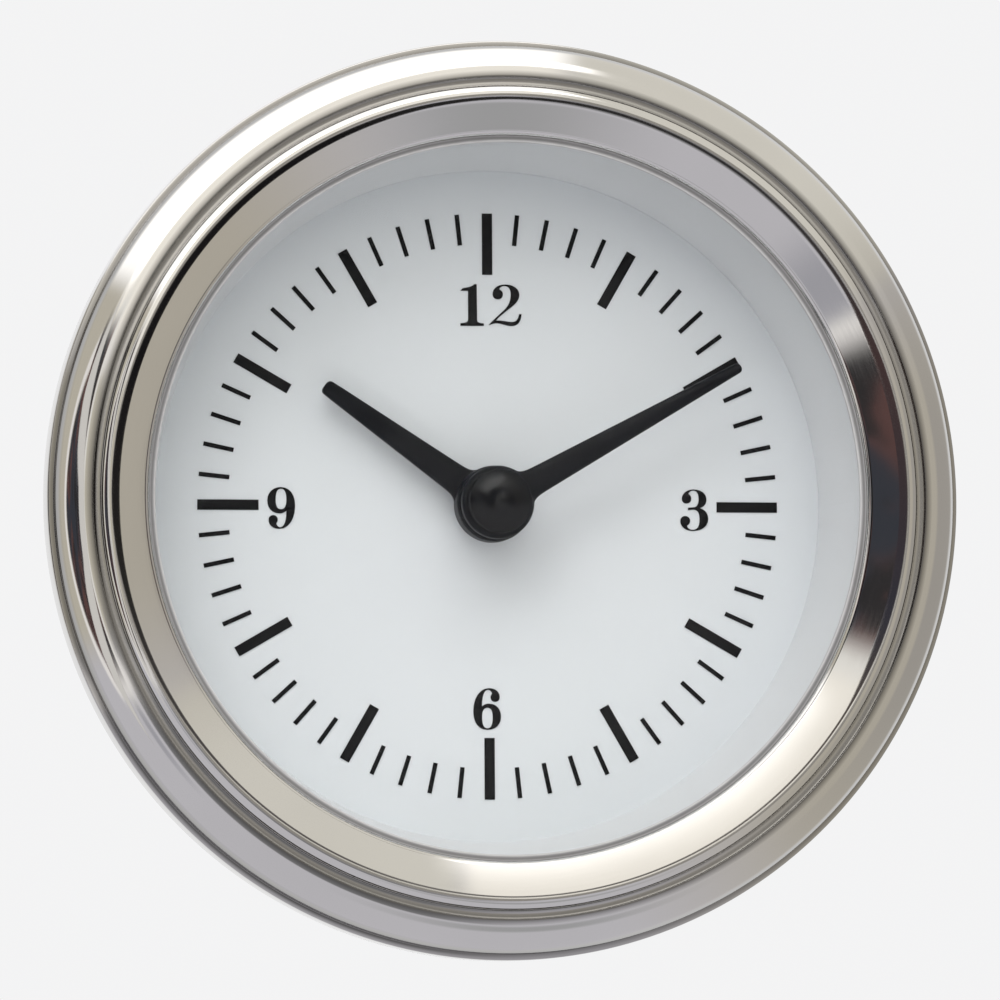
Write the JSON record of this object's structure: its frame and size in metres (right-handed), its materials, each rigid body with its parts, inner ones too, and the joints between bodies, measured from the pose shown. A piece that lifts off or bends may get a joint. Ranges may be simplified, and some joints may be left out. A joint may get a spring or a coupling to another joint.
{
  "type": "gauge clock",
  "caption": "Round panel clock with a white dial, black hands, stepped polished bezel and a steel can with quartz movement, time setting knob, lamp holder, studs and blade terminals.",
  "frame": {"origin": "on the dial axis, in the plane of the bezel's rear rim, which rests on the instrument panel", "axes": "-Y out of the dial towards the reader, +Y along the can to its rear, +Z to 12 o'clock, +X to 3 o'clock"},
  "size_m": [0.06, 0.0507, 0.06],
  "materials": {
    "polished_steel": "polished stainless steel",
    "lens": "clear flat glass",
    "black_rubber": "matt",
    "plated_can": "zinc plated, satin",
    "white_ring": "matt white",
    "white_dial": "matt white paint",
    "dial_ink": "printed ink",
    "hand_black": "satin black paint",
    "cap_black": "satin black",
    "movement_resin": "moulded",
    "movement_brass": "machined",
    "bright_steel": "bright",
    "acetal": "moulded",
    "spring_bronze": "spring temper",
    "magnet": "sintered",
    "magnetic_steel": "annealed",
    "bobbin_white": "moulded",
    "copper_wire": "enamelled wire",
    "board_green": "solder mask",
    "plated_hardware": "zinc plated",
    "crystal_can": "nickel plated",
    "chip_black": "moulded",
    "capacitor_blue": "sleeved",
    "resistor_tan": "lacquered",
    "blade_brass": "tinned",
    "black_moulding": "moulded",
    "bulb_glass": "clear",
    "knob_black": "ribbed moulding"
  },
  "bodies": {
    "case": {"bezel": "polished_steel", "lens_glass": "lens", "lens_gasket": "black_rubber", "case": "plated_can", "spacer_ring": "white_ring", "dial": "white_dial", "dial_marks": "dial_ink", "front_plate": "movement_resin", "centre_bushing": "movement_brass", "minute_wheel_post": "bright_steel", "stator": "magnetic_steel", "coil_core": "magnetic_steel", "coil_bobbin": "bobbin_white", "coil_winding": "copper_wire", "stator_screws": "bright_steel", "rear_plate": "movement_resin", "plate_pillars": "movement_brass", "plate_screws": "bright_steel", "board_spacers": "bobbin_white", "circuit_board": "board_green", "case_standoffs": "bright_steel", "case_screws": "plated_hardware", "quartz_crystal": "crystal_can", "driver_chip": "chip_black", "filter_capacitor": "capacitor_blue", "resistors": "resistor_tan", "protection_diode": "chip_black", "coil_pins": "blade_brass", "terminal_block": "black_moulding", "blade_terminals": "blade_brass", "mounting_studs": "plated_hardware", "stud_washers": "plated_hardware", "stud_nuts": "plated_hardware", "setting_bushing": "movement_brass"},
    "minute_arbor": {"centre_arbor": "bright_steel", "centre_wheel": "movement_brass", "friction_spring": "spring_bronze", "cannon_pinion": "movement_brass", "minute_hand": "hand_black", "hub_cap": "cap_black"},
    "hour_wheel": {"hour_wheel": "acetal", "hour_hand": "hand_black"},
    "minute_wheel": {"minute_wheel": "acetal"},
    "intermediate": {"intermediate_wheel": "acetal", "intermediate_arbor": "bright_steel"},
    "rotor": {"rotor_pinion": "acetal", "rotor_magnet": "magnet"},
    "setting": {"setting_shaft": "acetal", "setting_knob": "knob_black"},
    "lamp": {"lamp_holder": "black_moulding", "lamp_contacts": "blade_brass", "lamp_bulb": "bulb_glass"}
  },
  "joints": [
    {"name": "minute_turn", "type": "hinge", "parent": "case", "child": "minute_arbor", "pos_m": [0, 0, 0], "axis": [0, 1, 0], "continuous": true},
    {"name": "hour_turn", "type": "hinge", "parent": "case", "child": "hour_wheel", "pos_m": [0, 0, 0], "axis": [0, 1, 0], "continuous": true},
    {"name": "minute_wheel_turn", "type": "hinge", "parent": "case", "child": "minute_wheel", "pos_m": [0, 0.006, -0.009], "axis": [0, 1, 0], "continuous": true},
    {"name": "intermediate_turn", "type": "hinge", "parent": "case", "child": "intermediate", "pos_m": [-0.00579, 0.012, 0.00689], "axis": [0, 1, 0], "continuous": true},
    {"name": "rotor_turn", "type": "hinge", "parent": "case", "child": "rotor", "pos_m": [0.00073, 0.015, 0.01236], "axis": [0, 1, 0], "continuous": true},
    {"name": "setting_turn", "type": "hinge", "parent": "case", "child": "setting", "pos_m": [-0.00779, 0.029, -0.0135], "axis": [0, 1, 0], "continuous": true},
    {"name": "lamp_turn", "type": "hinge", "parent": "case", "child": "lamp", "pos_m": [0.0095, 0.029, -0.0125], "axis": [0, 1, 0], "range_deg": [0, 60]}
  ],
  "couplings": [
    {"joint": "hour_turn", "follows": "minute_turn", "ratio": 0.083333},
    {"joint": "minute_wheel_turn", "follows": "minute_turn", "ratio": -0.33333},
    {"joint": "intermediate_turn", "follows": "minute_turn", "ratio": -8},
    {"joint": "rotor_turn", "follows": "minute_turn", "ratio": 60},
    {"joint": "setting_turn", "follows": "minute_turn", "ratio": 1}
  ]
}
